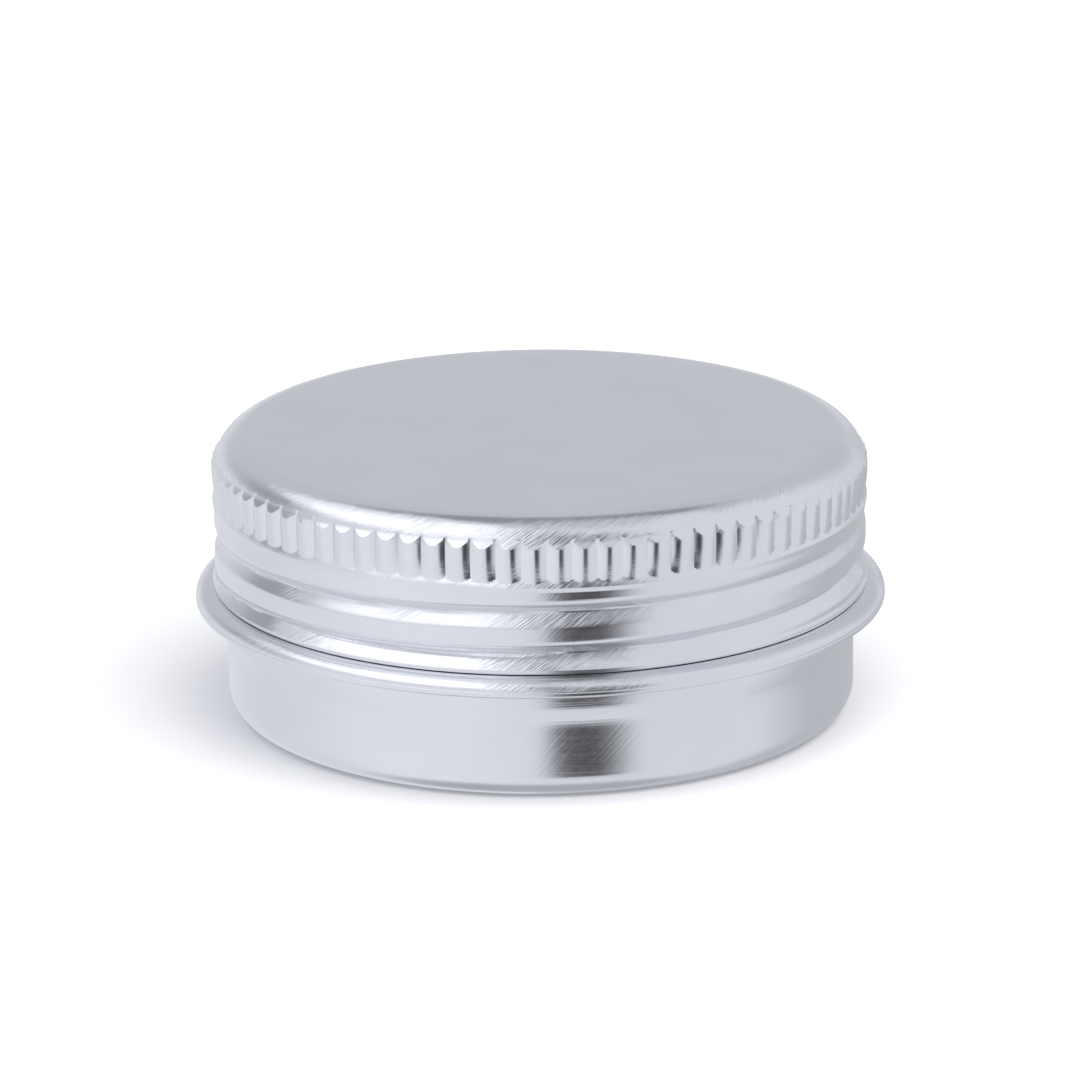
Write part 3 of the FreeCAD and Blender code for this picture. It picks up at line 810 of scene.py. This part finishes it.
# wax: cast round the wick, with a meniscus at the wall and at the wick (mm)
waxLow, waxHigh = [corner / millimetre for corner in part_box("wax_fill")]
wickLow, wickHigh = [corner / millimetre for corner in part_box("wick")]
tabLow, tabHigh = [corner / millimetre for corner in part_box("wick_sustainer")]
waxSizes = {
    "columns": 144, "top": waxHigh.z, "neckRadius": 22.08, "bodyRadius": waxHigh.x, "low": waxLow.z,
    "wickHole": wickHigh.x + 0.02, "tabRadius": tabHigh.x + 0.02, "tabTop": 1.46,
    "neckTop": tabHigh.z + 0.02, "neckHole": 1.14, "beadTop": 9.5, "beadLow": 8.2, "panelRadius": 18.48,
    "floorTop": 0.77, "foot": 1.45, "surfaceRings": 26, "sink": 0.28, "ripple": 0.05,
}


def buildWaxFill(s):
    # the surface sinks a little between the wick and the wall as the wax cools
    surface = []
    steps = s["surfaceRings"]
    for i in range(steps + 1):
        share = i / steps
        radius = s["wickHole"] + (s["neckRadius"] - s["wickHole"]) * share
        sink = s["sink"] * smooth(min(share / 0.16, (1 - share) / 0.1))
        surface.append((radius, s["top"] - sink))
    profile = surface + [(s["neckRadius"], s["beadTop"]), (s["bodyRadius"], s["beadLow"])]
    profile += arcPoints((s["bodyRadius"] - s["foot"], s["low"] + s["foot"]), s["foot"], 0, -90, 6)
    profile += [
        (s["panelRadius"] + 0.4, s["low"]), (s["panelRadius"], s["floorTop"]),
        (s["tabRadius"], s["floorTop"]), (s["tabRadius"], s["tabTop"]), (s["neckHole"], s["tabTop"]),
        (s["neckHole"], s["neckTop"]), (s["wickHole"], s["neckTop"])]
    rippled = set(surface[2:-2])

    def place(radius, height, angle):
        if (radius, height) in rippled:
            x, y = radius * math.cos(angle), radius * math.sin(angle)
            # a few shallow waves, 9 to 23 mm long
            waves = math.sin(0.31 * x + 1.3) * math.sin(0.27 * y + 0.4) + 0.5 * math.sin(0.71 * x - 0.53 * y)
            height += s["ripple"] * waves
        return radius, height

    mesh = bmesh.new()
    addRings(mesh, profile, evenAngles(s["columns"]), place, closed=True)
    return pieceFrom(mesh, "waxFill")


wax = buildWaxFill(waxSizes)
finishPiece(wax, soyWax, "base", "wax", "wax_fill")


# wick: cotton yarns braided round a core, made by Geometry Nodes (mm)
wickSizes = {"yarns": 6, "yarnRadius": 0.25, "turnLength": 5.2, "coreRadius": 0.52, "radius": wickHigh.x,
             "low": wickLow.z, "top": wickHigh.z, "pointsPerTurn": 20, "sides": 7}


def buildBraidTree():
    tree, given = newTree("wickBraid", [
        ("Yarns", "Int"), ("Rotations", "Float"), ("Resolution", "Int"), ("Path Radius", "Float"),
        ("Height", "Float"), ("Yarn Radius", "Float"), ("Sides", "Int"), ("Base", "Vector"),
        ("Material", "Material")])
    section = addNode(tree, "GeometryNodeCurvePrimitiveCircle", inputs={
        "Resolution": given.outputs["Sides"], "Radius": given.outputs["Yarn Radius"]})
    index = addNode(tree, "GeometryNodeInputIndex")
    families = addNode(tree, "GeometryNodeJoinGeometry")
    # one family of yarns turns to the right and the other to the left, half a step on
    for reverse, shift in ((False, 0.0), (True, 0.5)):
        path = addNode(tree, "GeometryNodeCurveSpiral", inputs={
            "Resolution": given.outputs["Resolution"], "Rotations": given.outputs["Rotations"],
            "Start Radius": given.outputs["Path Radius"], "End Radius": given.outputs["Path Radius"],
            "Height": given.outputs["Height"], "Reverse": reverse})
        yarn = addNode(tree, "GeometryNodeCurveToMesh", inputs={
            "Curve": path.outputs[0], "Profile Curve": section.outputs[0], "Fill Caps": True})
        points = addNode(tree, "GeometryNodeMeshLine", inputs={
            "Count": given.outputs["Yarns"], "Offset": (0, 0, 0)})
        shifted = addNode(tree, "ShaderNodeMath", {"operation": "ADD"}, {0: index.outputs[0], 1: shift})
        turn = addNode(tree, "ShaderNodeMath", {"operation": "DIVIDE"}, {
            0: shifted.outputs[0], 1: given.outputs["Yarns"]})
        angle = addNode(tree, "ShaderNodeMath", {"operation": "MULTIPLY"}, {0: turn.outputs[0], 1: fullTurn})
        rotation = addNode(tree, "ShaderNodeCombineXYZ", inputs={2: angle.outputs[0]})
        copies = addNode(tree, "GeometryNodeInstanceOnPoints", inputs={
            "Points": points.outputs[0], "Instance": yarn.outputs[0], "Rotation": rotation.outputs[0]})
        tree.links.new(copies.outputs[0], families.inputs[0])
    moved = addNode(tree, "GeometryNodeTransform", inputs={
        "Geometry": families.outputs[0], "Translation": given.outputs["Base"]})
    solid = addNode(tree, "GeometryNodeRealizeInstances", inputs={0: moved.outputs[0]})
    painted = addNode(tree, "GeometryNodeSetMaterial", inputs={
        "Geometry": solid.outputs[0], "Material": given.outputs["Material"]})
    addNode(tree, "NodeGroupOutput", inputs={0: painted.outputs[0]})
    return tree


def buildWick(s, material):
    yarnRadius = s["yarnRadius"]
    length = s["top"] - s["low"] - 2 * yarnRadius
    turns = length / s["turnLength"]
    braid = meshFromTree(buildBraidTree(), {
        "Yarns": s["yarns"], "Rotations": turns, "Resolution": s["pointsPerTurn"],
        "Path Radius": (s["radius"] - yarnRadius) * millimetre, "Height": length * millimetre,
        "Yarn Radius": yarnRadius * millimetre, "Sides": s["sides"],
        "Base": (0, 0, (s["low"] + yarnRadius) * millimetre), "Material": material})
    mesh = bmesh.new()
    mesh.from_mesh(braid)
    core = [(0, s["low"] + 0.1), (s["coreRadius"], s["low"] + 0.1), (s["coreRadius"], s["top"] - 0.2),
            (s["coreRadius"] * 0.6, s["top"] - 0.02), (0, s["top"])]
    addRings(mesh, core, evenAngles(16))
    return pieceFrom(mesh, "braidedWick", 60)


wick = buildWick(wickSizes, wickCotton)
finishPiece(wick, wickCotton, "base", "cotton", "wick")


# sustainer: a stamped tab whose neck is crimped on the wick, hidden in the wax (mm)
tabSizes = {"columns": 96, "radius": tabHigh.x, "low": tabLow.z, "gauge": 0.25, "neckRadius": 1.12,
            "bore": 0.87, "top": tabHigh.z, "crimps": 4, "crimpDepth": 0.1}


def buildSustainer(s):
    floor = s["low"] + s["gauge"]
    profile = [(s["bore"], s["low"])] + straight((s["bore"], s["low"]), (s["radius"] - 0.1, s["low"]), 6)
    profile += arcPoints((s["radius"] - 0.12, s["low"] + 0.125), (0.12, 0.125), -60, 90, 6)
    profile += straight((s["radius"] - 0.3, floor), (s["neckRadius"] + 0.25, floor), 4)
    profile += arcPoints((s["neckRadius"] + 0.2, floor + 0.2), 0.2, 270, 180, 4)
    outside = straight((s["neckRadius"], floor + 0.2), (s["neckRadius"], s["top"]), 8)
    inside = straight((s["bore"], s["top"]), (s["bore"], floor), 6)
    crimped = set(outside)

    def place(radius, height, angle):
        if (radius, height) in crimped:
            up = smooth((height - floor - 0.4) / 0.8) * smooth((s["top"] - height) / 0.3 + 0.3)
            radius -= s["crimpDepth"] * up * max(0.0, math.cos(s["crimps"] * angle)) ** 2
        return radius, height

    profile += outside + [(s["bore"], s["top"])] + inside
    mesh = bmesh.new()
    addRings(mesh, profile, evenAngles(s["columns"]), place, closed=True)
    return pieceFrom(mesh, "crimpedSustainer")


sustainer = buildSustainer(tabSizes)
finishPiece(sustainer, tinplate, "base", "tinplate", "wick_sustainer")


# sticker: a die-cut disc of foam tape under the tab (mm)
stickerLow, stickerHigh = [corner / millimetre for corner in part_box("wick_sticker")]
stickerSizes = {"columns": 96, "radius": stickerHigh.x, "low": stickerLow.z, "top": stickerHigh.z,
                "edge": 0.06}


def buildSticker(s):
    edge = s["edge"]
    profile = [(0, s["low"]), (s["radius"] * 0.5, s["low"]), (s["radius"] - edge, s["low"])]
    profile += [(s["radius"], s["low"] + edge), (s["radius"] - edge * 0.6, (s["low"] + s["top"]) / 2),
                (s["radius"], s["top"] - edge), (s["radius"] - edge, s["top"]), (s["radius"] * 0.5, s["top"]),
                (0, s["top"])]
    mesh = bmesh.new()
    addRings(mesh, profile, evenAngles(s["columns"]))
    return pieceFrom(mesh, "wickSticker")


sticker = buildSticker(stickerSizes)
finishPiece(sticker, stickerFoam, "base", "sticker", "wick_sticker")
